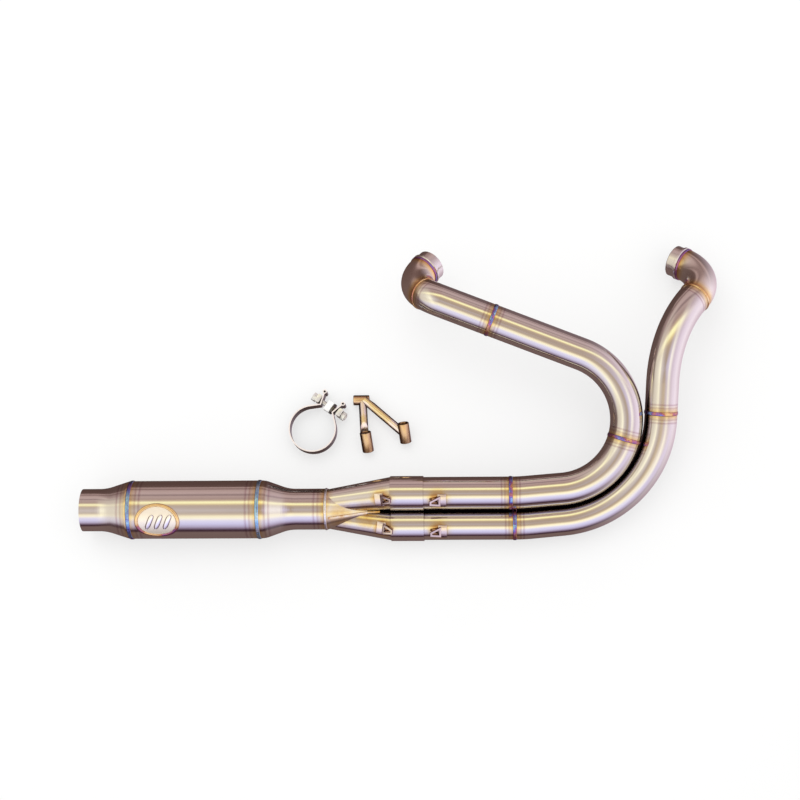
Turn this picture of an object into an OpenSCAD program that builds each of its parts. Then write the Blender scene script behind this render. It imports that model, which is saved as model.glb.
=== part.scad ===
// Two-into-one motorcycle exhaust: muffler, collector, two slip-fitted headers,
// a band clamp and a mounting bracket, laid out flat on a bench.
// Origin: centre of the muffler's outlet mouth. +X runs along the muffler towards
// the engine, +Z is up off the bench.

/* [Muffler] */
// Outside diameter of the muffler shell
body_d = 90; // [84:0.5:100]
// Length of the cylindrical shell
body_len = 200; // [150:5:300]
// Length of the outlet tube behind its cone
outlet_len = 37; // [25:1:60]
// Outside diameter of the outlet tube
outlet_d = 66; // [60:0.5:70]
// Length of the outlet cone
outlet_cone_len = 41; // [30:1:60]
// Length of the inlet cone
inlet_cone_len = 46; // [30:1:60]
// Length of the straight neck between inlet cone and collector
neck_len = 60; // [40:1:90]
// Outside diameter of the neck
neck_d = 63.5; // [60:0.5:66]
// Sheet thickness of the shell, cones and tubes
wall = 1.5; // [1.2:0.1:2]
// Outside diameter of the perforated core
core_d = 54; // [50:0.5:56]
// Rings of holes along the core
core_rings = 12; // [6:1:18]

/* [Badge] */
// Long side of the oval badge
badge_len = 70; // [50:1:80]
// Short side of the oval badge
badge_w = 52; // [40:1:54]
// Distance of the badge's centre from the outlet mouth
badge_x = 124; // [112:1:200]

/* [Collector] */
// Outside diameter of the header tubes
tube_d = 50; // [48:0.5:52]
// Outside diameter of a slip socket
socket_d = 53.2; // [52.8:0.1:54]
// Length of a slip socket
socket_len = 51; // [45:1:60]
// Length of the merging part between neck and sockets
merge_len = 98; // [90:1:110]
// Radial running clearance of a slip joint
slip_gap = 0.05; // [0.03:0.01:0.1]

/* [Rear header] */
// Slip piece, from the socket mouth to its weld
rear_slip = 134; // [125:1:145]
// Straight after the first slight bend
rear_lower = 55; // [40:1:70]
// Total angle of the big bend
rear_turn = 154; // [148:0.5:158]
// Centre-line radius of the big bend
rear_radius = 107; // [100:1:115]
// Long straight run to the port end
rear_run = 231; // [215:1:245]

/* [Front header] */
// Slip piece, from the socket mouth to its weld
front_slip = 140; // [130:1:150]
// Straight before the big bend
front_lower = 48; // [40:1:60]
// Angle of the big bend
front_turn = 82; // [78:0.5:86]
// Centre-line radius of the big bend
front_radius = 164; // [160:1:170]
// Straight above the big bend
front_rise = 57; // [45:1:70]

/* [Port ends] */
// Outside diameter of a port collar
collar_d = 49; // [45:0.5:51]
// Length of a port collar
collar_len = 18; // [14:0.5:22]
// Outside diameter of the lip behind the port collar
lip_d = 53; // [52:0.5:55]

/* [Clamp] */
// Inside diameter of the band
clamp_d = 71; // [70:0.5:72]
// Width of the band
clamp_w = 25; // [22:1:28]
// Thickness of the band
clamp_t = 2; // [1.6:0.1:2.2]
// Thread diameter of the clamp bolt
bolt_d = 8; // [7.8:0.1:8.2]

/* [Bracket] */
// Outside diameter of the two lower bosses
boss_d = 18; // [17:0.5:19]
// Bore of the two lower bosses
boss_bore = 12.4; // [12:0.1:13]
// Outside diameter of the top boss
top_boss_d = 16; // [15:0.5:17]
// Bore of the top boss
top_boss_bore = 10.4; // [10:0.1:11]
// Length of the two lower bosses
boss_len = 32; // [28:1:36]

/* [Hidden] */
$fn = 96;

steel = "silver";
tinted = "tan";
blued = "slateblue";
zinc = "gainsboro";
bronze = "darkgoldenrod";
wool = "khaki";

half_gap = 0.01;
// Rotation of the whole exhaust about its own length as it lies on the bench
lay_roll = 34.7;
bench_z = -body_d / 2;

// Stations along the muffler and collector
shell_x = outlet_len + outlet_cone_len;
inlet_x = shell_x + body_len;
neck_x = inlet_x + inlet_cone_len;
merge_x = neck_x + neck_len;
socket_x = merge_x + merge_len;
mouth_x = socket_x + socket_len;

body_r = body_d / 2;
outlet_r = outlet_d / 2;
neck_r = neck_d / 2;
tube_r = tube_d / 2;
socket_r = socket_d / 2;
socket_stop = 3;
pitch = socket_d + 0.2;
core_r = core_d / 2;

// Weld beads: width and height of the half-round bead, and its lift off the tube
bead_w = 6;
bead_h = 0.9;
bead_lift = 0.08;

// ---------------------------------------------------------------- frames
// A frame is [position, heading, side, up]. A tube runs along its heading and
// bends towards its side.
function ahead(f, len) = [f[0] + len * f[1], f[1], f[2], f[3]];
function rolled(f, a) =
    [f[0], f[1], cos(a) * f[2] + sin(a) * f[3], cos(a) * f[3] - sin(a) * f[2]];
function bent(f, a, r) =
    [f[0] + r * sin(a) * f[1] + r * (1 - cos(a)) * f[2],
     cos(a) * f[1] + sin(a) * f[2], cos(a) * f[2] - sin(a) * f[1], f[3]];

// A row is [straight length, roll, bend angle, bend radius]
function after(f, row) = bent(rolled(ahead(f, row[0]), row[1]), row[2], row[3]);
function after_all(f, rows, i = 0) =
    i >= len(rows) ? f : after_all(after(f, rows[i]), rows, i + 1);

module along(f) {
    multmatrix([
        [f[2][0], f[3][0], f[1][0], f[0][0]],
        [f[2][1], f[3][1], f[1][1], f[0][1]],
        [f[2][2], f[3][2], f[1][2], f[0][2]],
        [0, 0, 0, 1]
    ]) children();
}

// Straights stand proud of the bends they join by joint_step and lap them by joint_lap
joint_step = 0.02;
joint_lap = 0.4;

module straight(len, r, step) {
    rotate_extrude()
        translate([r - wall - step, 0])
            square([wall + 2 * step, len]);
}

// Bend that starts at the origin along +Z and turns towards +X
module bend(a, bend_r, r) {
    translate([bend_r, 0, 0])
        rotate([90, 0, 180])
            rotate_extrude(angle = a)
                translate([bend_r, 0])
                    difference() {
                        circle(r = r);
                        circle(r = r - wall);
                    }
}

// Thin-walled tube that follows the rows from number i on
module tube_run(rows, r, i = 0) {
    row = rows[i];
    before = i > 0 ? joint_lap : 0;
    behind = row[2] > 0 ? joint_lap : 0;
    if (row[0] > 0)
        translate([0, 0, -before])
            straight(row[0] + before + behind, r, before + behind > 0 ? joint_step : 0);
    translate([0, 0, row[0]])
        rotate([0, 0, row[1]]) {
            if (row[2] > 0)
                bend(row[2], row[3], r);
            if (i < len(rows) - 1)
                translate([row[3], 0, 0])
                    rotate([0, row[2], 0])
                        translate([-row[3], 0, 0])
                            tube_run(rows, r, i + 1);
        }
}

module pipe(f, rows, r) {
    along(f) tube_run(rows, r);
}

// Half-round weld bead round a tube of radius r, standing at frame f
module bead(f, r, width = bead_w, height = bead_h) {
    arc_r = (width * width / 4 + height * height) / (2 * height);
    along(f)
        rotate_extrude()
            intersection() {
                translate([r + bead_lift + height - arc_r, 0]) circle(r = arc_r);
                translate([r + bead_lift, -width]) square([width, 2 * width]);
            }
}

// A turned ring along X: outline points are [x, radius]
module turned_x(points) {
    rotate([0, 90, 0])
        rotate([0, 0, 90])
            rotate_extrude()
                polygon([for (p = points) [p[1], p[0]]]);
}

module laid() {
    rotate([lay_roll, 0, 0]) children();
}

// ---------------------------------------------------------------- header routes
function socket_frame(side) =
    [[mouth_x, side * pitch / 2, 0], [1, 0, 0], [0, 1, 0], [0, 0, 1]];

// How deep a slip piece sits in its socket
slip_depth = socket_len - socket_stop - 1;
kink_r = 300;
kink = 4.7;
rear_tilt = -22;
rear_split = 69;
rear_weld_run = 147;
elbow_a = 80;
elbow_r = 49;

rear_0 = ahead(socket_frame(1), -slip_depth);
rear_slip_rows = [[slip_depth + rear_slip, 0, 0, 1]];
rear_1 = after_all(rear_0, rear_slip_rows);
rear_lower_rows = [[0, rear_tilt, kink, kink_r], [rear_lower, 0, rear_split, rear_radius]];
rear_2 = after_all(rear_1, rear_lower_rows);
rear_bend_rows = [[0, 0, rear_turn - rear_split, rear_radius], [rear_weld_run, 0, 0, 1]];
rear_3 = after_all(rear_2, rear_bend_rows);
rear_upper_rows = [[rear_run - rear_weld_run, -99, 42, 40]];
rear_4 = after_all(rear_3, rear_upper_rows);
rear_elbow_rows = [[0, -40, elbow_a, elbow_r]];
rear_5 = after_all(rear_4, rear_elbow_rows);

front_weld_rise = 10;

front_0 = ahead(socket_frame(-1), -slip_depth);
front_slip_rows = [[slip_depth + front_slip, 0, 0, 1]];
front_1 = after_all(front_0, front_slip_rows);
front_lower_rows = [
    [0, -30, 5.3, kink_r],
    [front_lower, 12.4, front_turn, front_radius],
    [front_weld_rise, 0, 0, 1]
];
front_2 = after_all(front_1, front_lower_rows);
front_upper_rows = [[front_rise - front_weld_rise, -134.6, 56.5, 154]];
front_3 = after_all(front_2, front_upper_rows);
front_elbow_rows = [[0, 111.2, 90.7, 56.4]];
front_4 = after_all(front_3, front_elbow_rows);

// ---------------------------------------------------------------- muffler
// Points of a rounded corner at b, starting at a and ending at c
corner_steps = 6;
function corner(a, b, c) =
    [for (i = [0 : corner_steps]) let (t = i / corner_steps)
        (1 - t) * (1 - t) * a + 2 * t * (1 - t) * b + t * t * c];
function toward(a, b, d) = a + d * (b - a) / norm(b - a);

// Sheet of the wall's thickness whose outside follows points [x, radius]
module turned_sheet(points) {
    last = len(points) - 1;
    turned_x(concat(points, [for (i = [0 : last]) points[last - i] - [0, wall]]));
}

fillet = 11;
shoulder = 6;

module outlet_cone() {
    foot = [outlet_len, outlet_r];
    top = [shell_x - 4, body_r];
    color(steel)
        turned_sheet(concat(
            [[0, outlet_r]],
            corner(foot - [fillet, 0], foot, toward(foot, top, fillet)),
            corner(toward(top, foot, 2), top, [shell_x, body_r])
        ));
}

module muffler_shell() {
    color(steel) turned_sheet([[shell_x, body_r], [inlet_x, body_r]]);
}

module inlet_cone() {
    top = [inlet_x + shoulder + 3, body_r];
    foot = [neck_x, neck_r];
    color(steel)
        turned_sheet(concat(
            [[inlet_x, body_r]],
            corner(top - [shoulder, 0], top, toward(top, foot, shoulder)),
            corner(toward(foot, top, fillet), foot, foot + [fillet, 0]),
            [[merge_x, neck_r]]
        ));
}

function x_frame(x) = [[x, 0, 0], [1, 0, 0], [0, 1, 0], [0, 0, 1]];

merge_weld_w = 4;

module muffler_welds() {
    color(blued) {
        bead(x_frame(shell_x), body_r);
        bead(x_frame(inlet_x), body_r);
        bead(x_frame(merge_x - merge_weld_w / 2 - 0.1), neck_r, merge_weld_w);
    }
}

module oval_on_shell(len_x, len_y, r_in, r_out) {
    laid()
        intersection() {
            turned_x([
                [badge_x - len_x, r_in], [badge_x - len_x, r_out],
                [badge_x + len_x, r_out], [badge_x + len_x, r_in]
            ]);
            translate([badge_x, 0, 0])
                intersection() {
                    // An oval as the overlap of two equal discs
                    oval_r = (len_x * len_x + len_y * len_y) / (4 * len_y);
                    translate([0, oval_r - len_y / 2, 0]) cylinder(r = oval_r, h = body_d);
                    translate([0, len_y / 2 - oval_r, 0]) cylinder(r = oval_r, h = body_d);
                    cube([len_x - 6, body_d, 3 * body_d], center = true);
                }
        }
}

badge_lift = 0.05;
plate_t = 1.2;
rim_t = 2.4;
rim_w = 6;

module badge_plate() {
    color(zinc)
        oval_on_shell(badge_len - rim_w - 0.2, badge_w - rim_w - 0.2,
            body_r + badge_lift, body_r + badge_lift + plate_t);
}

module badge_rim() {
    color(bronze)
        difference() {
            oval_on_shell(badge_len, badge_w, body_r + badge_lift, body_r + badge_lift + rim_t);
            oval_on_shell(badge_len - rim_w, badge_w - rim_w, body_r - 1, body_r + rim_t + 1);
        }
}

core_start = outlet_len;
core_end = neck_x;
core_gap = 0.5;
core_hole_r = 3;
holes_round = 6;
hole_phase = 17;
ring_t = 2;

module perforated_core() {
    first = shell_x + 12;
    step = (body_len - 24) / (core_rings - 1);
    color(steel)
        difference() {
            translate([core_start, 0, 0])
                rotate([0, 90, 0])
                    cylinder(r = core_r, h = core_end - core_start);
            translate([core_start - 1, 0, 0])
                rotate([0, 90, 0])
                    cylinder(r = core_r - wall, h = core_end - core_start + 2);
            for (i = [0 : core_rings - 1], k = [0 : holes_round - 1])
                translate([first + i * step, 0, 0])
                    rotate([hole_phase + (k + (i % 2) / 2) * 360 / holes_round, 0, 0])
                        translate([0, 0, core_r - wall - 1])
                            cylinder(r = core_hole_r, h = wall + 2);
        }
}

module sound_packing() {
    color(wool) turned_x([
        [shell_x + ring_t + 0.5, core_r + core_gap],
        [shell_x + ring_t + 0.5, body_r - wall - core_gap],
        [inlet_x - ring_t - 0.5, body_r - wall - core_gap],
        [inlet_x - ring_t - 0.5, core_r + core_gap]
    ]);
}

module support_ring(x) {
    turned_x([
        [x, core_r + slip_gap], [x, body_r - wall - slip_gap],
        [x + ring_t, body_r - wall - slip_gap], [x + ring_t, core_r + slip_gap]
    ]);
}

module core_support_rings() {
    color(steel) {
        support_ring(shell_x);
        support_ring(inlet_x - ring_t);
    }
}

// ---------------------------------------------------------------- collector
// Each branch tapers and leans in towards the neck, cut at the middle plane; a cone
// carries on from the neck between them
lean = 7.5;
branch_end_r = 18;
branch_taper = (tube_r - branch_end_r) / merge_len;
cone_run = 62;
cone_end_r = 12;

module branch_solid(side, grow) {
    translate([socket_x, side * pitch / 2, 0])
        rotate([0, 0, side * lean])
            rotate([0, -90, 0])
                translate([0, 0, -tube_d / 2])
                    cylinder(
                        r1 = tube_r + grow + branch_taper * tube_d / 2,
                        r2 = branch_end_r + grow - branch_taper * tube_d / 2,
                        h = merge_len + tube_d
                    );
    translate([merge_x, 0, 0])
        rotate([0, 90, 0])
            cylinder(r1 = neck_r + grow, r2 = cone_end_r + grow, h = cone_run);
}

module branch(side) {
    laid()
        intersection() {
            difference() {
                branch_solid(side, 0);
                branch_solid(side, -wall);
            }
            translate([merge_x, side > 0 ? half_gap : -body_d - half_gap, -body_d / 2])
                cube([merge_len, body_d, body_d]);
        }
}

module collector_upper_branch() {
    color(tinted) branch(1);
}

module collector_lower_branch() {
    color(tinted) branch(-1);
}

// A ridge that follows the line where the two branches meet
seam_w = 3.2;
seam_h = 1.3;
crotch = 14;

module both_branches(grow) {
    for (side = [-1, 1])
        branch_solid(side, grow);
}

module collector_seam_weld() {
    color(bronze) laid()
        intersection() {
            difference() {
                both_branches(seam_h);
                both_branches(bead_lift);
            }
            translate([merge_x + bead_w / 2, -seam_w / 2, -body_d / 2])
                cube([merge_len - bead_w - crotch, seam_w, body_d]);
        }
}

module socket(side) {
    laid()
        translate([0, side * pitch / 2, 0])
            turned_x([
                [socket_x, tube_r - wall], [socket_x, socket_r],
                [mouth_x, socket_r], [mouth_x, tube_r + slip_gap],
                [socket_x + socket_stop, tube_r + slip_gap],
                [socket_x + socket_stop, tube_r - wall]
            ]);
}

module upper_socket() {
    color(steel) socket(1);
}

module lower_socket() {
    color(steel) socket(-1);
}

// ---------------------------------------------------------------- spring hooks
// A stamped hook: a saddle that lies on the tube, and a tongue with a three-cornered
// window that the end of a tension spring loops into
saddle_len = 13;
saddle_t = 2;
saddle_a = 46;
tongue_len = 18;
tongue_w = 17;
tongue_t = 2.8;
tongue_rise = 26;

module tongue_outline(margin) {
    polygon([
        [margin, -tongue_w / 2 + margin * 1.3], [margin, tongue_w / 2 - margin * 1.3],
        [tongue_len - margin, 3.2 - margin * 0.7], [tongue_len - margin, -3.2 + margin * 0.7]
    ]);
}

// Stands on a tube of radius r whose top line runs along +X; toe = +1 or -1 along X
module hook(r, toe) {
    rotate([0, 0, toe > 0 ? 0 : 180]) {
        rotate([0, 90, 0])
            translate([0, 0, -saddle_len / 2])
                rotate([0, 0, 180 - saddle_a / 2])
                    rotate_extrude(angle = saddle_a)
                        translate([r + bead_lift, 0])
                            square([saddle_t, saddle_len]);
        translate([saddle_len / 2 - 3, 0, r + bead_lift + 0.7])
            rotate([0, -tongue_rise, 0])
                linear_extrude(tongue_t)
                    difference() {
                        tongue_outline(0);
                        tongue_outline(3);
                    }
    }
}

hook_branch_x = 468;
hook_roll = -8;
hook_pipe_x = mouth_x + 29;

branch_slope = -atan(branch_taper);

module collector_spring_hooks() {
    color(bronze) laid()
        for (side = [-1, 1])
            translate([socket_x, side * pitch / 2, 0])
                rotate([0, 0, side * lean])
                    translate([hook_branch_x - socket_x, 0, 0])
                        rotate([hook_roll, branch_slope, 0])
                            hook(tube_r - branch_taper * (socket_x - hook_branch_x), 1);
}

module header_hook(side) {
    color(bronze) laid()
        translate([hook_pipe_x, side * pitch / 2, 0])
            hook(tube_r, -1);
}

module rear_spring_hook() {
    header_hook(1);
}

module front_spring_hook() {
    header_hook(-1);
}

// ---------------------------------------------------------------- headers
module rear_slip_pipe() {
    color(steel) laid() pipe(rear_0, rear_slip_rows, tube_r);
}

module rear_lower_pipe() {
    color(steel) laid() pipe(rear_1, rear_lower_rows, tube_r);
}

module rear_bend_pipe() {
    color(steel) laid() pipe(rear_2, rear_bend_rows, tube_r);
}

module rear_upper_pipe() {
    color(steel) laid() pipe(rear_3, rear_upper_rows, tube_r);
}

module rear_elbow() {
    color(tinted) laid() pipe(rear_4, rear_elbow_rows, tube_r);
}

// Turned collar: a lip that the port flange bears on, then a spigot for the port
module port_collar(f) {
    lip_t = 3;
    spigot_r = collar_d / 2;
    along(f)
        rotate_extrude()
            polygon([
                [tube_r - wall, joint_step], [tube_r, joint_step],
                [lip_d / 2, 1.5], [lip_d / 2, lip_t + 1.5],
                [spigot_r, lip_t + 2.5], [spigot_r, collar_len - 1],
                [spigot_r - 1, collar_len], [tube_r - wall, collar_len]
            ]);
}

module rear_port_collar() {
    color(steel) laid() port_collar(rear_5);
}

module front_port_collar() {
    color(steel) laid() port_collar(front_4);
}

// Extra lift of the beads that stand on the inside of a tight bend
seam_lift = 0.12;
collar_lift = 0.32;
collar_weld_w = 3.6;

module rear_welds() {
    color(blued) laid() {
        bead(rear_1, tube_r);
        bead(rear_2, tube_r);
        bead(rear_3, tube_r);
        bead(rear_4, tube_r + seam_lift, 4);
        bead(ahead(rear_5, -collar_weld_w / 2 - 0.1), tube_r + collar_lift, collar_weld_w);
    }
}

module front_slip_pipe() {
    color(steel) laid() pipe(front_0, front_slip_rows, tube_r);
}

module front_lower_pipe() {
    color(steel) laid() pipe(front_1, front_lower_rows, tube_r);
}

module front_upper_pipe() {
    color(steel) laid() pipe(front_2, front_upper_rows, tube_r);
}

module front_elbow() {
    color(tinted) laid() pipe(front_3, front_elbow_rows, tube_r);
}

module front_welds() {
    color(blued) laid() {
        bead(front_1, tube_r);
        bead(front_2, tube_r);
        bead(front_3, tube_r + seam_lift, 4);
        bead(ahead(front_4, -collar_weld_w / 2 - 0.1), tube_r + collar_lift, collar_weld_w);
    }
}

// ---------------------------------------------------------------- clamp
// The band lies flat. It leaves its round part along a tangent on each side, folds
// outwards and ends in a looped ear; the ears stand either side of clamp_dir
clamp_at = [355.8, 130.6, bench_z + clamp_w / 2];
clamp_dir = 55.5;
ear_spread = 16.5;
tangent_a = 42;
loop_at = 62;
loop_r = 3.4;
bolt_reach = 44.5;
clamp_r = clamp_d / 2;
clamp_mid = clamp_r + clamp_t / 2;
fold_at = clamp_mid / cos(tangent_a - ear_spread);
bolt_r = bolt_d / 2;
bolt_gap = 0.05;
bar_t = 7.5;
bar_half = 6.5;
bar_shift = 1;
head_h = 6.5;
nut_h = 7;
hex_d = 15;
block_x = 10.5;
block_reach = 17;
block_tall = 15;
collar_t = 4;
collar_r = 9;
contact_gap = 0.1;

// Local clamp frame: +Y points out between the ears, the bolt runs along X
module clamp_frame() {
    translate(clamp_at)
        rotate([0, 0, clamp_dir - 90])
            children();
}

// Straight part of the band on one side, a little thinner than the round part
module tangent_strip(side) {
    strip_t = clamp_t - 2 * joint_step;
    rotate(-side * tangent_a)
        translate([side > 0 ? -clamp_mid * tan(tangent_a - ear_spread) : -1,
                clamp_mid - strip_t / 2])
            square([1 + clamp_mid * tan(tangent_a - ear_spread), strip_t]);
}

module ear(side) {
    rotate(-side * ear_spread)
        difference() {
            union() {
                translate([0, fold_at])
                    circle(r = clamp_t / 2 + 0.1);
                translate([-clamp_t / 2, fold_at])
                    square([clamp_t, loop_at - fold_at]);
                translate([0, loop_at])
                    circle(r = loop_r);
            }
            translate([0, loop_at])
                circle(r = loop_r - 1.6);
        }
}

module round_band() {
    difference() {
        circle(r = clamp_r + clamp_t);
        circle(r = clamp_r);
        polygon([
            [0, 0],
            2 * clamp_d * [sin(tangent_a), cos(tangent_a)],
            2 * clamp_d * [-sin(tangent_a), cos(tangent_a)]
        ]);
    }
}

module clamp_band() {
    color(zinc)
        clamp_frame()
            difference() {
                linear_extrude(clamp_w, center = true) {
                    round_band();
                    for (side = [-1, 1]) {
                        tangent_strip(side);
                        ear(side);
                    }
                }
                translate([0, bolt_reach, 0])
                    rotate([0, 90, 0])
                        cylinder(r = bolt_r + 0.4, h = clamp_d, center = true);
            }
}

module on_bolt(x) {
    clamp_frame()
        translate([x, bolt_reach, 0])
            rotate([0, 90, 0])
                children();
}

bar_x = (bolt_reach + bar_shift + bar_half) * tan(ear_spread)
    + clamp_t / 2 / cos(ear_spread) + contact_gap;
head_x = -bar_x - bar_t - head_h - contact_gap;
nut_x = bar_x + bar_t + contact_gap;
bolt_len = nut_x + nut_h + 1.5 - head_x;

module clamp_bolt() {
    color(zinc) on_bolt(head_x) {
        cylinder(d = hex_d, h = head_h, $fn = 6);
        cylinder(r = bolt_r, h = bolt_len);
    }
}

module clamp_nut() {
    color(zinc)
        on_bolt(nut_x)
            difference() {
                cylinder(d = hex_d, h = nut_h, $fn = 6);
                translate([0, 0, -1]) cylinder(r = bolt_r + bolt_gap, h = nut_h + 2);
            }
}

// Round-backed bars that press the ears together
module pressure_bar(x) {
    on_bolt(x)
        difference() {
            intersection() {
                translate([-clamp_w / 2 + 2, bar_shift - bar_half, 0])
                    cube([clamp_w - 4, 2 * bar_half, bar_t]);
                translate([-clamp_w / 2, bar_shift, bar_t / 2])
                    rotate([0, 90, 0])
                        cylinder(r = bar_half + 0.3, h = clamp_w);
            }
            translate([0, 0, -1]) cylinder(r = bolt_r + 0.3, h = bar_t + 2);
        }
}

module clamp_pressure_bars() {
    color(zinc) {
        pressure_bar(bar_x);
        pressure_bar(-bar_x - bar_t);
    }
}

module clamp_reaction_block() {
    color(zinc)
        on_bolt(-block_x / 2)
            difference() {
                translate([-block_tall / 2, -block_reach / 2, 0])
                    cube([block_tall, block_reach, block_x]);
                translate([0, 0, -1]) cylinder(r = bolt_r + bolt_gap, h = block_x + 2);
            }
}

module clamp_collar() {
    color("dimgray")
        on_bolt(block_x / 2 + contact_gap)
            difference() {
                cylinder(r = collar_r, h = collar_t);
                translate([0, 0, -1]) cylinder(r = bolt_r + 0.3, h = collar_t + 2);
            }
}

// ---------------------------------------------------------------- bracket
// Three drilled bosses joined by two round arms
boss_r = boss_d / 2;
top_boss_r = top_boss_d / 2;
boss_slope = 28;
top_boss_len = 25;
top_boss_at = [432, 178, bench_z + top_boss_r];
lower_z = bench_z + boss_len / 2 * sin(boss_slope) + boss_r * cos(boss_slope);
left_boss_at = [441.5, 110, lower_z];
right_boss_at = [501, 124, lower_z];
arm_r = 6.5;

module boss_rod(at, length, turn, slope, r) {
    translate(at)
        rotate([0, 0, turn])
            rotate([0, 90 - slope, 0])
                cylinder(r = r, h = length, center = true);
}

module boss(at, length, turn, slope, r, bore) {
    difference() {
        boss_rod(at, length, turn, slope, r);
        boss_rod(at, length + 2, turn, slope, bore / 2);
    }
}

// Heading of a lower boss, from its low end to its raised end
boss_turn = 98;

module bracket_top_boss() {
    color(bronze) boss(top_boss_at, top_boss_len, 0, 0, top_boss_r, top_boss_bore);
}

module bracket_left_boss() {
    color(bronze) boss(left_boss_at, boss_len, boss_turn, boss_slope, boss_r, boss_bore);
}

module bracket_right_boss() {
    color(bronze) boss(right_boss_at, boss_len, boss_turn, boss_slope, boss_r, boss_bore);
}

// Round bar from point a to point b
module bar(a, b, r) {
    d = b - a;
    translate(a)
        rotate([0, 0, atan2(d[1], d[0])])
            rotate([0, atan2(norm([d[0], d[1]]), d[2]), 0])
                cylinder(r = r, h = norm(d));
}

joint_gap = 0.02;

module short_bar(grow) {
    bar([434, 178, bench_z + top_boss_r + 1], left_boss_at + [-3, 6, 4], arm_r + grow);
}

// Clears an arm's end so that it butts against a boss
module cope_top() {
    boss_rod(top_boss_at, top_boss_len + 40, 0, 0, top_boss_r + joint_gap);
}

module cope_low(at) {
    boss_rod(at, boss_len + 40, boss_turn, boss_slope, boss_r + joint_gap);
}

module bracket_short_arm() {
    color(bronze)
        difference() {
            short_bar(0);
            cope_top();
            cope_low(left_boss_at);
        }
}

module bracket_long_arm() {
    color(bronze)
        difference() {
            bar([437, 178, bench_z + top_boss_r + 4], right_boss_at + [0, -2, -1], arm_r);
            cope_top();
            cope_low(right_boss_at);
            short_bar(joint_gap);
        }
}

outlet_cone();
muffler_shell();
inlet_cone();
muffler_welds();
badge_plate();
badge_rim();
perforated_core();
sound_packing();
core_support_rings();
collector_upper_branch();
collector_lower_branch();
collector_seam_weld();
upper_socket();
lower_socket();
collector_spring_hooks();
rear_port_collar();
rear_elbow();
rear_upper_pipe();
rear_bend_pipe();
rear_lower_pipe();
rear_slip_pipe();
rear_welds();
rear_spring_hook();
front_port_collar();
front_elbow();
front_upper_pipe();
front_lower_pipe();
front_slip_pipe();
front_welds();
front_spring_hook();
clamp_band();
clamp_bolt();
clamp_nut();
clamp_pressure_bars();
clamp_reaction_block();
clamp_collar();
bracket_top_boss();
bracket_left_boss();
bracket_right_boss();
bracket_short_arm();
bracket_long_arm();
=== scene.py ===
import bpy
import math
import numpy as np
from mathutils import Euler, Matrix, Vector


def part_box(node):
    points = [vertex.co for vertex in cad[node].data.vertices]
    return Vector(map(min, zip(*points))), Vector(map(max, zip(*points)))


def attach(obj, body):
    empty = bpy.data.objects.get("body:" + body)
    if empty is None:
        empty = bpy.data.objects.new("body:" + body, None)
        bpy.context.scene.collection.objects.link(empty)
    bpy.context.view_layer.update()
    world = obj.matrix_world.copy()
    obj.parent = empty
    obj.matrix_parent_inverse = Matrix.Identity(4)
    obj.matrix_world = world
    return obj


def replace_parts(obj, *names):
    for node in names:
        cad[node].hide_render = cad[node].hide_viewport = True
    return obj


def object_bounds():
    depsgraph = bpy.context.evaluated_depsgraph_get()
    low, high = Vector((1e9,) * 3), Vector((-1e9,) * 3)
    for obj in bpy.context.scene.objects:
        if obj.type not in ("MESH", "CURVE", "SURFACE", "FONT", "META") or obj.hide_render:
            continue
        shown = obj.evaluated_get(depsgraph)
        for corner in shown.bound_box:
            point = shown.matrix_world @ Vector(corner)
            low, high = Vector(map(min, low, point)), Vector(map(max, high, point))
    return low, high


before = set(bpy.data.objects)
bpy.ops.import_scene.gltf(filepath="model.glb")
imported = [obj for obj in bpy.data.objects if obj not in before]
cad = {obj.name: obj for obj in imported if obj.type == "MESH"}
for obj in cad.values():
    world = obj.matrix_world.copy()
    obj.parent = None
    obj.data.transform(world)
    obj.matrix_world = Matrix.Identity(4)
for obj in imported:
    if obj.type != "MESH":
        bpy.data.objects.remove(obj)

cad_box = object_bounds()
MM = 0.001


# ---------------------------------------------------------------- CAD measurements
def verts(name):
    """A node's points, as rows of x, y and z."""
    mesh = cad[name].data
    co = np.zeros(len(mesh.vertices) * 3)
    mesh.vertices.foreach_get("co", co)
    return co.reshape(-1, 3)


def middle(name):
    """Centre of a node's box."""
    lo, hi = (Vector(v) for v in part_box(name))
    return (lo + hi) / 2


def islands(name):
    """The node's separate solids, as arrays of points."""
    mesh = cad[name].data
    co = verts(name)
    _, same = np.unique(np.round(co / 1e-6).astype(np.int64), axis=0, return_inverse=True)
    same = same.ravel()
    up = list(range(same.max() + 1))

    def root(i):
        while up[i] != i:
            up[i] = up[up[i]]
            i = up[i]
        return i

    for e in mesh.edges:
        a, b = root(same[e.vertices[0]]), root(same[e.vertices[1]])
        if a != b:
            up[max(a, b)] = min(a, b)
    groups = {}
    for i, s in enumerate(same):
        groups.setdefault(root(s), []).append(i)
    return [co[g] for g in groups.values()]


def ring_of(points):
    """(centre, axis, inner radius, outer radius, width) of a ring-shaped solid."""
    pts = np.unique(np.round(points, 7), axis=0)
    mid = pts.mean(axis=0)
    _, _, vt = np.linalg.svd(pts - mid, full_matrices=False)
    axis = vt[2]
    u, v = vt[0], vt[1]
    flat = np.c_[(pts - mid) @ u, (pts - mid) @ v]
    fit = np.linalg.lstsq(np.c_[2 * flat, np.ones(len(flat))], (flat ** 2).sum(1), rcond=None)[0]
    centre = mid + u * fit[0] + v * fit[1]
    along = (pts - centre) @ axis
    centre = centre + axis * (along.max() + along.min()) / 2
    away = np.linalg.norm(np.cross(pts - centre, axis), axis=1)
    return Vector(centre), Vector(axis), away.min(), away.max(), along.max() - along.min()


WELD_NODES = ("muffler_welds", "rear_welds", "front_welds")
rings = {n: [ring_of(p) for p in islands(n)] for n in WELD_NODES}

badge_pts = verts("badge_plate")

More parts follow.
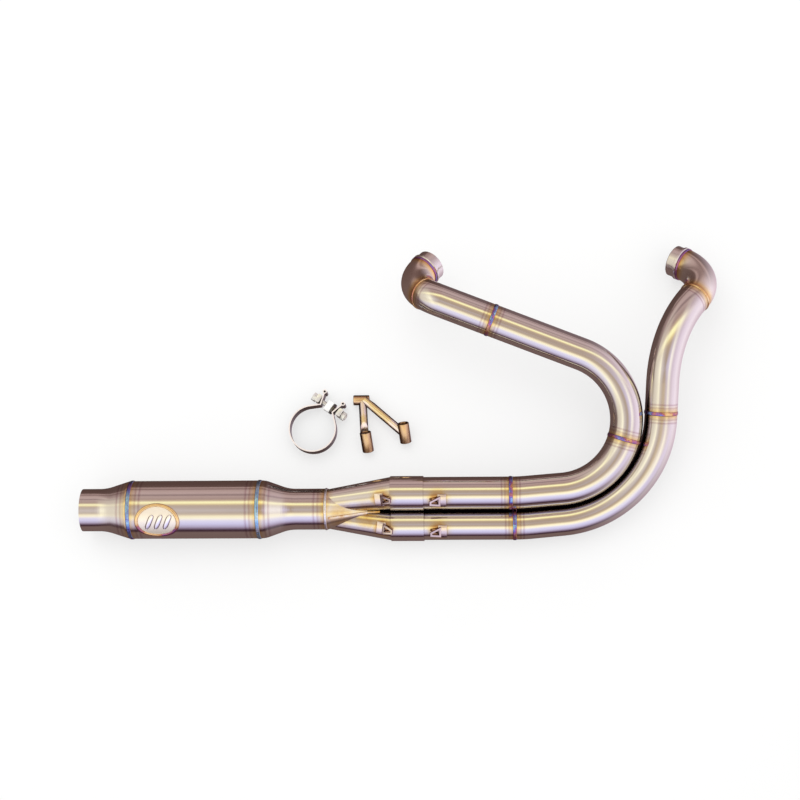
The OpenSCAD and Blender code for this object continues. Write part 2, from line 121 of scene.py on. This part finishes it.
# The part lies rolled about its length, so its outboard side and badge face up and sideways
lay = math.atan2(-badge_pts[:, 1].mean(), badge_pts[:, 2].mean())
OUTBOARD = Vector((0, -math.sin(lay), math.cos(lay)))
ACROSS = Vector((0, math.cos(lay), math.sin(lay)))
ALONG = Vector((1, 0, 0))


# ---------------------------------------------------------------- shader building
class Nodes:
    """A short way to write node trees."""

    def __init__(self, tree, keep=False):
        self.tree = tree
        if not keep:
            tree.nodes.clear()

    def add(self, kind, **props):
        node = self.tree.nodes.new(kind)
        for k, v in props.items():
            setattr(node, k, v)
        return node

    def put(self, socket, value):
        if isinstance(value, bpy.types.NodeSocket):
            self.tree.links.new(value, socket)
        elif value is not None:
            socket.default_value = value

    def math(self, op, a, b=None, c=None):
        node = self.add("ShaderNodeMath", operation=op)
        for s, v in zip(node.inputs, (a, b, c)):
            self.put(s, v)
        return node.outputs[0]

    def vec(self, op, a, b=None):
        node = self.add("ShaderNodeVectorMath", operation=op)
        self.put(node.inputs[0], a)
        self.put(node.inputs[1], b)
        return node.outputs["Value" if op in ("DOT_PRODUCT", "LENGTH") else "Vector"]

    def noise(self, where, scale, detail=3.0):
        node = self.add("ShaderNodeTexNoise")
        self.put(node.inputs["Vector"], where)
        node.inputs["Scale"].default_value = scale
        node.inputs["Detail"].default_value = detail
        return node.outputs["Fac"]

    def ramp(self, fac, stops):
        node = self.add("ShaderNodeValToRGB")
        el = node.color_ramp.elements
        while len(el) < len(stops):
            el.new(0.5)
        for e, (at, colour) in zip(el, stops):
            e.position = at
            e.color = (*colour, 1.0)
        self.put(node.inputs[0], fac)
        return node.outputs["Color"]

    def mix(self, fac, a, b, mode="MIX"):
        node = self.add("ShaderNodeMix", data_type="RGBA", blend_type=mode)
        self.put(node.inputs["Factor"], fac)
        self.put(node.inputs["A"], a if isinstance(a, bpy.types.NodeSocket) else (*a, 1.0))
        self.put(node.inputs["B"], b if isinstance(b, bpy.types.NodeSocket) else (*b, 1.0))
        return node.outputs["Result"]

    def span(self, value, lo, hi, to_lo=0.0, to_hi=1.0, smooth=True):
        node = self.add("ShaderNodeMapRange",
                        interpolation_type="SMOOTHSTEP" if smooth else "LINEAR")
        for s, v in zip(node.inputs, (value, lo, hi, to_lo, to_hi)):
            self.put(s, v)
        return node.outputs[0]

    def bump(self, height, strength, distance):
        node = self.add("ShaderNodeBump")
        node.inputs["Strength"].default_value = strength
        node.inputs["Distance"].default_value = distance
        self.put(node.inputs["Height"], height)
        return node.outputs["Normal"]


def srgb(r, g, b):
    """Linear colour from display values 0 to 255."""
    return tuple(((c / 255 + 0.055) / 1.055) ** 2.4 if c > 10 else c / 255 / 12.92
                 for c in (r, g, b))


# Oxide colours of heated stainless steel, from bare metal to the hottest silver
HEAT = [
    (0.00, (1.0, 1.0, 1.0)),
    (0.16, (1.0, 0.95, 0.82)),
    (0.30, (0.98, 0.80, 0.46)),
    (0.42, (0.80, 0.50, 0.22)),
    (0.52, (0.55, 0.24, 0.20)),
    (0.62, (0.42, 0.17, 0.40)),
    (0.72, (0.20, 0.20, 0.62)),
    (0.84, (0.34, 0.62, 0.90)),
    (0.94, (0.85, 0.90, 0.95)),
    (1.00, (0.95, 0.92, 0.88)),
]


def ring_distance(n, where, ring, at_ring, far_off):
    """Distance from a ring's plane, and a value that goes from at_ring to far_off with the
    distance from its centre, so that a plane doesn't reach the tubes beyond its own."""
    centre, axis, _, outer, _ = ring
    rel = n.vec("SUBTRACT", where, tuple(centre))
    from_plane = n.math("ABSOLUTE", n.vec("DOT_PRODUCT", rel, tuple(axis)))
    return from_plane, n.span(n.vec("LENGTH", rel), outer * 1.15, outer * 1.5, at_ring, far_off)


def heat_from_rings(n, where, ring_list, reach, peak):
    """How hot each point has been: 0 away from every weld, peak at the bead."""
    total = None
    for ring in ring_list:
        t, near = ring_distance(n, where, ring, 1.0, 0.0)
        h = n.math("MULTIPLY", n.span(t, 0.0, reach, peak, 0.0, smooth=False), near)
        total = h if total is None else n.math("MAXIMUM", total, h)
    return total


def tint_lines(n, where, ring_list, reach):
    """The thin lines that end the heated zone on each side of a bead."""
    nearest = None
    for ring in ring_list:
        t, far = ring_distance(n, where, ring, 0.0, 1.0)
        t = n.math("ADD", t, far)
        nearest = t if nearest is None else n.math("MINIMUM", nearest, t)
    wave = n.math("MULTIPLY_ADD", n.noise(where, 60.0, 2.0), 0.0016, -0.0008)
    at = n.math("DIVIDE", n.math("ADD", nearest, wave), reach * 1.5)
    white = (1.0, 1.0, 1.0)
    return n.ramp(at, [(0.0, white), (0.34, white), (0.47, (0.80, 0.71, 0.72)), (0.55, white),
                       (0.62, white), (0.70, (0.76, 0.66, 0.70)), (0.84, white), (1.0, white)])


def painted_gap_shade(n, distance):
    """Painted shade: a colour that darkens, by ambient occlusion, where neighbouring metal leaves
    only a narrow gap to reflect.
    """
    shade = n.add("ShaderNodeAmbientOcclusion", samples=6)
    shade.inputs["Distance"].default_value = distance
    return n.ramp(shade.outputs["AO"], [(0.0, (0.05, 0.035, 0.035)), (0.26, (0.12, 0.09, 0.085)),
                                        (0.50, (0.66, 0.60, 0.58)), (0.72, (1.0, 1.0, 1.0))])


def steel(name, colour, rough, ring_list=(), reach=0.017, peak=0.62, spots=(), grain=0.0,
          metallic=1.0, tone=0.06, always_hot=0.0, gap=0.024, edge=None, lines=0.0, pale=()):
    """Polished or plated metal with haze, fine scratches and heat tint, and painted shade: darker
    colour where other metal is close (gap) and at edges turned away from the camera (edge).
    """
    mat = bpy.data.materials.new(name)
    mat.use_nodes = True
    n = Nodes(mat.node_tree)
    where = n.add("ShaderNodeTexCoord").outputs["Object"]
    cloud = n.noise(where, 22.0, 4.0)
    haze = n.noise(where, 160.0, 3.0)
    fine = n.noise(n.vec("MULTIPLY", where, (2600.0, 90.0, 90.0)), 1.0, 2.0)
    heat = None
    if ring_list:
        wobble = n.math("MULTIPLY_ADD", n.noise(where, 70.0, 3.0), 0.30, -0.15)
        heat = heat_from_rings(n, where, ring_list, reach, peak)
        heat = n.math("MULTIPLY", heat, n.math("ADD", 1.0, wobble))
    for centre, size, amount in spots:
        away = n.vec("LENGTH", n.vec("SUBTRACT", where, tuple(centre)))
        h = n.span(away, size * 0.25, size, amount, 0.0)
        h = n.math("MULTIPLY", h, n.math("MULTIPLY_ADD", haze, 0.5, 0.75))
        heat = h if heat is None else n.math("MAXIMUM", heat, h)
    if always_hot:
        base_hot = n.math("MULTIPLY_ADD", cloud, 0.16, always_hot - 0.08)
        heat = base_hot if heat is None else n.math("MAXIMUM", heat, base_hot)
    low = tuple(c * (1 - tone) for c in colour)
    body = n.mix(cloud, low, colour)
    if heat is not None:
        body = n.mix(1.0, body, n.ramp(heat, HEAT), "MULTIPLY")
    if lines:
        body = n.mix(1.0, body, tint_lines(n, where, ring_list, lines), "MULTIPLY")
    for centre, size in pale:
        away = n.vec("LENGTH", n.vec("SUBTRACT", where, tuple(centre)))
        away = n.math("ADD", away, n.math("MULTIPLY_ADD", haze, 0.008, -0.004))
        body = n.mix(n.span(away, size * 0.55, size, 0.9, 0.0), body, (1.0, 0.90, 0.89))
    # Painted shade: the colour turns to the darker edge colour where the surface turns away from
    # the camera.
    if edge is not None:
        edge_shade_weight = n.add("ShaderNodeLayerWeight")
        edge_shade_weight.inputs["Blend"].default_value = 0.5
        body = n.mix(n.span(edge_shade_weight.outputs["Facing"], 0.16, 0.46), body, edge)
    # Painted shade: the colour is darkened where other metal is close.
    if gap:
        body = n.mix(1.0, body, painted_gap_shade(n, gap), "MULTIPLY")
    shine = n.add("ShaderNodeBsdfPrincipled")
    n.put(shine.inputs["Base Color"], body)
    shine.inputs["Metallic"].default_value = metallic
    r = n.math("MULTIPLY_ADD", haze, 0.06, rough - 0.03)
    if heat is not None:
        r = n.math("MULTIPLY_ADD", heat, 0.10, r)
    n.put(shine.inputs["Roughness"], r)
    relief = n.math("MULTIPLY_ADD", fine, grain, n.math("MULTIPLY", cloud, 0.25))
    n.put(shine.inputs["Normal"], n.bump(relief, 0.10, 0.0006))
    out = n.add("ShaderNodeOutputMaterial")
    n.put(out.inputs["Surface"], shine.outputs[0])
    return mat


def dress(name, mat, bevel=0.0):
    """Gives a CAD node its material, smooth shading and rounded edges."""
    obj = cad[name]
    obj.data.materials.clear()
    obj.data.materials.append(mat)
    for p in obj.data.polygons:
        p.use_smooth = True
    if bevel:
        weld = obj.modifiers.new("join", "WELD")
        weld.merge_threshold = 1e-6
        b = obj.modifiers.new("edge", "BEVEL")
        b.width = bevel
        b.segments = 3
        b.limit_method = "ANGLE"
        b.angle_limit = math.radians(40)
        b.harden_normals = True


def new_piece(name, mesh, body, mat):
    """A smooth Blender piece that rides on a body."""
    obj = bpy.data.objects.new(name, mesh)
    bpy.context.scene.collection.objects.link(obj)
    mesh.materials.append(mat)
    for p in mesh.polygons:
        p.use_smooth = True
    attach(obj, body)
    return obj


# ---------------------------------------------------------------- weld beads
STEPS_PER_SCALLOP = 6
BEAD_ROWS = 9
BEAD_SINK = 0.4 * MM


def bead_shape(ring, seed, ripple_mm=2.3, scallop=0.30):
    """Points and faces of a TIG bead: overlapping scallops all round a ring."""
    centre, axis, inner, outer, width = ring
    side = axis.orthogonal().normalized()
    up = axis.cross(side)
    rng = np.random.default_rng(seed)
    count = int(round(2 * math.pi * inner / (ripple_mm * MM)))
    steps, rows = count * STEPS_PER_SCALLOP, BEAD_ROWS
    jitter = rng.normal(0, 0.18, count)
    height = rng.normal(1.0, 0.05, count)
    pts, faces = [], []
    for i in range(steps):
        a = 2 * math.pi * i / steps
        ray = side * math.cos(a) + up * math.sin(a)
        for j in range(rows):
            u = -1 + 2 * j / (rows - 1)
            phase = i / STEPS_PER_SCALLOP + 0.9 * u * u
            k = int(phase) % count
            part = phase - math.floor(phase) + 0.15 * jitter[k]
            rise = 1 - scallop * abs(part) ** 1.6
            lift = (outer - inner) * math.sqrt(max(0.0, 1 - u * u)) * rise * min(height[k], 1.0)
            edge = 1 + 0.05 * jitter[k]
            pts.append(centre + ray * (inner + lift) + axis * (u * width / 2 * min(edge, 1.0)))
        pts.append(centre + ray * (inner - BEAD_SINK) - axis * width * 0.48)
        pts.append(centre + ray * (inner - BEAD_SINK) + axis * width * 0.48)
    per = rows + 2
    loop = list(range(rows)) + [rows + 1, rows]
    for i in range(steps):
        j = (i + 1) % steps
        for k in range(per):
            a, b = loop[k], loop[(k + 1) % per]
            faces.append((i * per + a, i * per + b, j * per + b, j * per + a))
    return pts, faces


def join_shapes(name, shapes):
    """One mesh of several shapes; shape k is given material k."""
    pts, faces, owner = [], [], []
    for k, (p, f) in enumerate(shapes):
        base = len(pts)
        pts += p
        faces += [tuple(i + base for i in face) for face in f]
        owner += [k] * len(f)
    mesh = bpy.data.meshes.new(name)
    mesh.from_pydata([tuple(p) for p in pts], [], faces)
    mesh.polygons.foreach_set("material_index", owner)
    mesh.update()
    return mesh


def bead_metal(name, low, high, rough=0.22):
    """Bead colours that drift between two heats round the weld."""
    mat = bpy.data.materials.new(name)
    mat.use_nodes = True
    n = Nodes(mat.node_tree)
    where = n.add("ShaderNodeTexCoord").outputs["Object"]
    drift = n.span(n.noise(where, 55.0, 2.0), 0.32, 0.68, low, high, smooth=False)
    speck = n.math("MULTIPLY_ADD", n.noise(where, 500.0, 2.0), 0.12, -0.06)
    colour = n.ramp(n.math("ADD", drift, speck), HEAT)
    shine = n.add("ShaderNodeBsdfPrincipled")
    n.put(shine.inputs["Base Color"], colour)
    shine.inputs["Metallic"].default_value = 1.0
    shine.inputs["Roughness"].default_value = rough
    n.put(shine.inputs["Normal"], n.bump(n.noise(where, 1400.0), 0.15, 0.0003))
    out = n.add("ShaderNodeOutputMaterial")
    n.put(out.inputs["Surface"], shine.outputs[0])
    return mat


# A header's beads narrower than these stand at its port collar, and at its elbow's start
COLLAR_BEAD_W = 3.8 * MM
ELBOW_BEAD_W = 4.5 * MM


def bead_heats(node, ring):
    """Lowest and highest heat colour of one bead, by what it joins."""
    centre, width = ring[0], ring[4]
    if node == "muffler_welds":
        first = min(r[0].x for r in rings[node])
        last = max(r[0].x for r in rings[node])
        if centre.x < first + 10 * MM:
            return 0.66, 0.86
        return (0.93, 1.0) if centre.x > last - 10 * MM else (0.80, 0.93)
    if width < COLLAR_BEAD_W:
        return 0.56, 0.70
    return (0.30, 0.50) if width < ELBOW_BEAD_W else (0.38, 0.90)


for seed, node in enumerate(WELD_NODES):
    mesh = join_shapes(node + "_beads", [bead_shape(r, 10 * seed + i)
                                         for i, r in enumerate(rings[node])])
    heats = [bead_metal(f"{node}_{i}", *bead_heats(node, r)) for i, r in enumerate(rings[node])]
    body = "muffler" if node == "muffler_welds" else node.split("_")[0] + "_header"
    bead = new_piece(node + "_beads", mesh, body, heats[0])
    for mat in heats[1:]:
        mesh.materials.append(mat)
    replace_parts(bead, node)


# ---------------------------------------------------------------- badge
# The photo's badge is larger than the CAD's and sits further round the shell
LONGER, WIDER = 1.09, 1.12
BADGE_UP = 2.5 * MM
rim_along = verts("badge_rim")[:, 0]
rim_across = verts("badge_rim") @ np.array(ACROSS)
BADGE_X = middle("badge_rim").x
BADGE_A = (rim_along.max() - rim_along.min()) / 2 * LONGER
BADGE_B = (rim_across.max() - rim_across.min()) / 2 * WIDER
SHELL_R = np.hypot(verts("muffler_shell")[:, 1], verts("muffler_shell")[:, 2]).max()
PLATE_LOW, PLATE_TOP = 0.1 * MM, 1.0 * MM
PLATE_INSET = 4.0 * MM
OVAL_STEPS = 160


def on_shell(x, across, lift):
    """Point above the shell, x along it and across round it from the badge's centre."""
    turn = (across + BADGE_UP) / SHELL_R
    ray = OUTBOARD * math.cos(turn) + ACROSS * math.sin(turn)
    return Vector((BADGE_X + x, 0, 0)) + ray * (SHELL_R + lift)


def grid_faces(rows, per, closed_rows=True):
    """Quads between rows of points; every row is a closed loop."""
    faces = []
    for i in range(rows if closed_rows else rows - 1):
        j = (i + 1) % rows
        for k in range(per):
            m = (k + 1) % per
            faces.append((i * per + k, i * per + m, j * per + m, j * per + k))
    return faces


def oval_ring(a_len, b_len, lift):
    """One loop of points on the shell."""
    angles = [2 * math.pi * i / OVAL_STEPS for i in range(OVAL_STEPS)]
    return [on_shell(a_len * math.cos(a), b_len * math.sin(a), lift) for a in angles]


def badge_rim_shape(width=5.2 * MM, tall=2.6 * MM, sides=14):
    """An oval border with a round section."""
    pts = []
    for i in range(OVAL_STEPS):
        a = 2 * math.pi * i / OVAL_STEPS
        for k in range(sides):
            b = 2 * math.pi * k / sides
            out_by = (math.cos(b) - 1) * width / 2
            lift = PLATE_LOW + tall * (0.5 + 0.5 * math.sin(b))
            pts.append(on_shell((BADGE_A + out_by) * math.cos(a), (BADGE_B + out_by) * math.sin(a),
                                lift))
    return pts, grid_faces(OVAL_STEPS, sides)


def disc_shape(a_len, b_len, low, high, loops=12):
    """A thin oval plate: loops from its centre out, then down its side and back."""
    pts = []
    levels = [(k / loops, high) for k in range(1, loops + 1)]
    levels += [(1.0, low)] + [(k / loops, low) for k in range(loops - 1, 0, -1)]
    for share_out, lift in levels:
        pts += oval_ring(a_len * share_out, b_len * share_out, lift)
    faces = grid_faces(len(levels), OVAL_STEPS, closed_rows=False)
    top, bottom = len(pts), len(pts) + 1
    pts += [on_shell(0, 0, high), on_shell(0, 0, low)]
    last = (len(levels) - 1) * OVAL_STEPS
    for i in range(OVAL_STEPS):
        j = (i + 1) % OVAL_STEPS
        faces.append((top, j, i))
        faces.append((bottom, last + i, last + j))
    return pts, faces


def bar_shape(x, half_len, half_w, slant, low, high, steps=26, across=8):
    """A slanted raised bar with rounded ends and a domed top."""
    pts, per = [], across + 1
    for i in range(steps):
        t = -1 + 2 * i / (steps - 1)
        w = half_w * math.sqrt(max(0.02, 1 - abs(t) ** 5))
        y = half_len * t
        for k in range(across):
            u = -1 + 2 * k / (across - 1)
            dome = high - (high - low) * 0.6 * abs(u) ** 3
            pts.append(on_shell(x + slant * y + u * w, y, dome if abs(u) < 1 else low))
        pts.append(on_shell(x + slant * y, y, low))
    faces = grid_faces(steps, per, closed_rows=False)
    faces.append(tuple(range(per)))
    faces.append(tuple(range((steps - 1) * per, steps * per))[::-1])
    return pts, faces


# ---------------------------------------------------------------- materials on the CAD nodes
# Unless gap is 0, each steel() material paints shade into its colour where other metal is close;
# with edge it also paints its edges darker where they turn away from the camera.
PLAIN = (0.80, 0.775, 0.745)
# A heated spot is (centre, radius, heat)
hook_spots = [(middle(f"{side}_spring_hook"), 0.026, 0.42) for side in ("rear", "front")]
collector_spots = [(Vector(p.mean(axis=0)), 0.026, 0.45)
                   for p in islands("collector_spring_hooks")]
seam_mid = middle("collector_seam_weld") + OUTBOARD * 0.030
collector_spots += [(seam_mid + ALONG * 0.02, 0.040, 0.34), (seam_mid - ALONG * 0.02, 0.038, 0.32)]

muffler_steel = steel("muffler_steel", PLAIN, 0.11, rings["muffler_welds"], 0.015, 0.40,
                      grain=0.4, lines=0.0165)
rear_tube = steel("rear_tube_steel", PLAIN, 0.11, rings["rear_welds"], 0.015, 0.42,
                  hook_spots[:1], lines=0.013)
front_tube = steel("front_tube_steel", PLAIN, 0.11, rings["front_welds"], 0.015, 0.42,
                   hook_spots[1:], lines=0.013)
collector_steel = steel("collector_steel", PLAIN, 0.12, rings["muffler_welds"], 0.014, 0.38,
                        collector_spots)
elbow_rear = steel("rear_elbow_steel", (1.0, 0.96, 0.89), 0.14, rings["rear_welds"], 0.017, 0.50)
elbow_front = steel("front_elbow_steel", (0.88, 0.85, 0.80), 0.14, rings["front_welds"],
                    0.017, 0.50)
collar_steel = steel("port_collar_steel", (0.82, 0.79, 0.77), 0.22, grain=0.6)
inner_steel = steel("inner_steel", (0.50, 0.48, 0.46), 0.35)
# Painted shade: the hook's colour darkens in narrow gaps and at edges turned away from the camera.
hook_steel = steel("hook_steel", (0.98, 0.88, 0.86), 0.17, always_hot=0.12, gap=0.009,
                   tone=0.30, edge=(0.24, 0.10, 0.15))
seam_bead = bead_metal("seam_bead", 0.12, 0.46)
zinc = steel("zinc_plate", (0.88, 0.88, 0.84), 0.28, metallic=0.55, tone=0.12, gap=0.004)
block_zinc = steel("block_zinc", (0.97, 0.97, 0.96), 0.38, metallic=0.12, tone=0.02, gap=0)
dark_plate = steel("dark_plate", (0.17, 0.16, 0.15), 0.30, gap=0)
# The arms' pale stretches are (centre, radius), beside the bosses
arm_zones = [(middle("bracket_top_boss") + Vector((3, -16, 4)) * MM, 17 * MM),
             (middle("bracket_left_boss") + Vector((-3, 20, 8)) * MM, 12 * MM),
             (middle("bracket_right_boss") + Vector((-14, 9, 4)) * MM, 17 * MM)]
# Painted shade: the bracket's colour darkens in narrow gaps, inside the bosses' bores, and at edges
# turned away from the camera.
bronze_tint = steel("bracket_bronze", (1.0, 0.86, 0.60), 0.20, tone=0.20, always_hot=0.14,
                    gap=0.006, edge=(0.035, 0.018, 0.012), pale=arm_zones)
boss_tint = steel("boss_bronze", (0.92, 0.70, 0.50), 0.26, tone=0.30, always_hot=0.19, gap=0.016,
                  edge=(0.13, 0.065, 0.03))
wool = steel("glass_wool", (0.80, 0.74, 0.52), 0.85, metallic=0.0, gap=0)
rim_spots = [(OUTBOARD * SHELL_R + ALONG * (BADGE_X + 0.020) - ACROSS * 0.020, 0.036, 0.62),
             (OUTBOARD * SHELL_R + ALONG * (BADGE_X - 0.030) - ACROSS * 0.012, 0.022, 0.56)]
rim_tint = steel("badge_rim_tint", (1.0, 0.92, 0.88), 0.20, spots=rim_spots, always_hot=0.33, gap=0)
cream = steel("badge_cream", (1.0, 0.93, 0.80), 0.36, metallic=0.6, gap=0)
# Painted shadow: the emblem's colour darkens round the foot of its raised bars and at edges turned
# away from the camera.
emblem_metal = steel("emblem_metal", (1.0, 0.98, 0.98), 0.22, gap=0.0016,
                     edge=(0.30, 0.22, 0.22))


def band_metal():
    """Plated strip with painted shade: its broad walls, which stand upright, are painted dark
    brown; its rim, whose faces point up or down, keeps the pale, pinkish plate colour.
    """
    mat = steel("band_plate", (0.90, 0.82, 0.80), 0.30, metallic=0.3, tone=0.08, gap=0)
    n = Nodes(mat.node_tree, keep=True)
    shine = next(x for x in n.tree.nodes if x.type == "BSDF_PRINCIPLED")
    colour = shine.inputs["Base Color"].links[0].from_socket
    up_part = n.vec("DOT_PRODUCT", n.add("ShaderNodeNewGeometry").outputs["Normal"], (0, 0, 1))
    flat_on = n.span(n.math("ABSOLUTE", up_part), 0.35, 0.75)
    # Painted shade: faces that stand upright get a near-black brown instead of the plate colour.
    n.put(shine.inputs["Base Color"], n.mix(flat_on, (0.050, 0.032, 0.028), colour))
    return mat


band_plate = band_metal()

for node in ("outlet_cone", "muffler_shell", "inlet_cone"):
    dress(node, muffler_steel)
for node in ("collector_upper_branch", "collector_lower_branch", "upper_socket",
             "lower_socket"):
    dress(node, collector_steel)
for side, tube, elbow in (("rear", rear_tube, elbow_rear), ("front", front_tube, elbow_front)):
    for part in ("slip_pipe", "lower_pipe", "bend_pipe", "upper_pipe"):
        if f"{side}_{part}" in cad:
            dress(f"{side}_{part}", tube)
    dress(f"{side}_elbow", elbow)
    dress(f"{side}_port_collar", collar_steel)
    dress(f"{side}_spring_hook", hook_steel, 0.0006)
dress("collector_spring_hooks", hook_steel, 0.0006)
dress("collector_seam_weld", seam_bead)
dress("perforated_core", inner_steel)
dress("core_support_rings", inner_steel)
dress("sound_packing", wool)
for node in ("clamp_band", "clamp_bolt", "clamp_nut", "clamp_pressure_bars"):
    band = node == "clamp_band"
    dress(node, band_plate if band else zinc, 0.0004 if band else 0.0007)
dress("clamp_reaction_block", block_zinc, 0.0008)
dress("clamp_collar", dark_plate, 0.0006)
for node in ("bracket_top_boss", "bracket_left_boss", "bracket_right_boss",
             "bracket_short_arm", "bracket_long_arm"):
    boss = "boss" in node
    dress(node, boss_tint if boss else bronze_tint, 0.0006 if boss else 0.0)
dress("badge_plate", cream)
dress("badge_rim", rim_tint)

plate = join_shapes("badge_face", [disc_shape(BADGE_A - PLATE_INSET, BADGE_B - PLATE_INSET,
                                              PLATE_LOW, PLATE_TOP)])
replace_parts(new_piece("badge_face", plate, "muffler", cream), "badge_plate")
rim = join_shapes("badge_border", [badge_rim_shape()])
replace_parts(new_piece("badge_border", rim, "muffler", rim_tint), "badge_rim")
BAR_SPACING = 13.8 * MM
bars = [bar_shape(2 * MM + k * BAR_SPACING, 11.5 * MM, 4.6 * MM, 0.42,
                  PLATE_TOP - 0.3 * MM, PLATE_TOP + 2.2 * MM) for k in (-1, 0, 1)]
emblem = join_shapes("badge_emblem", bars)
emblem.polygons.foreach_set("material_index", [0] * len(emblem.polygons))
new_piece("badge_emblem", emblem, "muffler", emblem_metal)


# ---------------------------------------------------------------- stage, light and camera
# The camera's turn (in degrees), place and lens give the photo's view of the part
camera_turn = Euler([math.radians(a) for a in (10.4754, 3.3127, 0.1277)])
RIGHT, UP, BACK = camera_turn.to_matrix().col
cam_data = bpy.data.cameras.new("camera")
cam_data.sensor_width = 36.0
cam_data.lens = 78.75
cam_data.clip_end = 50.0
cam = bpy.data.objects.new("camera", cam_data)
cam.location = Vector((652.3, -326.7, 2689.6)) * MM
cam.rotation_euler = camera_turn
bpy.context.scene.collection.objects.link(cam)
bpy.context.scene.camera = cam

floor_mesh = bpy.data.meshes.new("floor")
FLOOR_Z = cad_box[0][2] - 0.4 * MM
FLOOR_HALF = 40.0
FLOOR_GLOW = 0.62   # share of the floor's colour that is its own light
corners = [(x * FLOOR_HALF, y * FLOOR_HALF, FLOOR_Z)
           for x, y in ((-1, -1), (1, -1), (1, 1), (-1, 1))]
floor_mesh.from_pydata(corners, [], [(0, 1, 2, 3)])
floor = bpy.data.objects.new("floor", floor_mesh)
bpy.context.scene.collection.objects.link(floor)
floor.visible_glossy = False
paper = bpy.data.materials.new("pale_floor")
paper.use_nodes = True
n = Nodes(paper.node_tree)
where = n.add("ShaderNodeTexCoord").outputs["Object"]
tone = n.mix(n.noise(where, 3.0), (0.93, 0.93, 0.93), (0.96, 0.96, 0.955))
flat = n.add("ShaderNodeBsdfDiffuse")
n.put(flat.inputs["Color"], tone)
fill = n.add("ShaderNodeEmission")
n.put(fill.inputs["Color"], tone)
blend = n.add("ShaderNodeMixShader")
blend.inputs["Fac"].default_value = FLOOR_GLOW
n.put(blend.inputs[1], flat.outputs[0])
n.put(blend.inputs[2], fill.outputs[0])
out = n.add("ShaderNodeOutputMaterial")
n.put(out.inputs["Surface"], blend.outputs[0])
floor_mesh.materials.append(paper)

# What the polished tubes reflect: colour by the angle of the reflected ray from the
# camera's axis, in degrees. A colour ramp holds at most 32 stops.
UPWARD_BANDS = [   # towards the camera's up is positive
    (-180, (100, 83, 80)), (-100, (112, 92, 89)), (-93, (70, 48, 56)), (-86, (52, 34, 46)),
    (-79, (120, 100, 122)), (-68, (176, 168, 200)), (-55, (205, 202, 238)),
    (-42, (222, 220, 246)), (-36, (246, 240, 240)), (-31, (255, 250, 226)),
    (-22, (255, 244, 205)), (-16, (205, 186, 160)), (-10, (176, 158, 140)),
    (8, (168, 150, 134)), (20, (176, 156, 138)), (25, (222, 200, 150)), (29, (255, 248, 190)),
    (35, (255, 250, 196)), (39, (196, 172, 148)), (46, (158, 134, 128)), (58, (176, 152, 148)),
    (64, (128, 106, 106)), (72, (182, 158, 156)), (88, (170, 146, 142)), (95, (110, 86, 84)),
    (101, (176, 150, 146)), (107, (92, 70, 66)), (125, (84, 64, 60)), (180, (74, 56, 52)),
]
SIDEWAYS_BANDS = [  # towards the camera's right is positive
    (-180, (88, 70, 66)), (-95, (98, 80, 76)), (-78, (116, 98, 92)), (-68, (204, 194, 180)),
    (-48, (222, 214, 198)), (-32, (255, 250, 226)), (-24, (214, 204, 196)),
    (-8, (180, 168, 168)), (8, (192, 180, 196)), (22, (210, 200, 220)), (30, (250, 244, 236)),
    (38, (238, 230, 228)), (50, (206, 190, 206)), (70, (226, 212, 228)), (95, (240, 228, 240)),
    (130, (214, 196, 208)), (180, (190, 170, 184)),
]
world = bpy.data.worlds.new("studio")
bpy.context.scene.world = world
world.use_nodes = True
n = Nodes(world.node_tree)
ray = n.add("ShaderNodeTexCoord").outputs["Generated"]
toward = n.vec("DOT_PRODUCT", ray, tuple(BACK))
above = n.vec("DOT_PRODUCT", ray, tuple(UP))
right = n.vec("DOT_PRODUCT", ray, tuple(RIGHT))
angle_up = n.math("MULTIPLY_ADD", n.math("ARCTAN2", above, toward), 0.5 / math.pi, 0.5)
angle_right = n.math("MULTIPLY_ADD", n.math("ARCTAN2", right, toward), 0.5 / math.pi, 0.5)


def bands(fac, table):
    """The colours of a table, along a factor that is 0 at -180 degrees and 1 at 180."""
    return n.ramp(fac, [((a + 180) / 360, srgb(*c)) for a, c in table])


share = n.math("DIVIDE", n.math("ABSOLUTE", right),
               n.math("ADD", n.math("ADD", n.math("ABSOLUTE", right),
                                    n.math("ABSOLUTE", above)), 0.02))
mirror = n.mix(n.span(share, 0.12, 0.92), bands(angle_up, UPWARD_BANDS),
               bands(angle_right, SIDEWAYS_BANDS))
rays = n.add("ShaderNodeLightPath")
sky = n.mix(rays.outputs["Is Glossy Ray"], (1.0, 1.0, 1.0), mirror)
glow = n.add("ShaderNodeBackground")
n.put(glow.inputs["Color"], sky)
n.put(glow.inputs["Strength"], n.math("MULTIPLY_ADD", rays.outputs["Is Glossy Ray"], 0.27, 1.05))
out = n.add("ShaderNodeOutputWorld")
n.put(out.inputs["Surface"], glow.outputs[0])

key_data = bpy.data.lights.new("key", "AREA")
key_data.shape = "DISK"
key_data.size = 2.2
key_data.energy = 15.0
key = bpy.data.objects.new("key", key_data)
key.location = (0.1, 1.1, 2.4)
key.rotation_euler = (Vector((0.45, 0.2, 0)) - key.location).to_track_quat("-Z", "Y").to_euler()
key.visible_glossy = False
bpy.context.scene.collection.objects.link(key)
bpy.context.scene.view_settings.view_transform = "Standard"
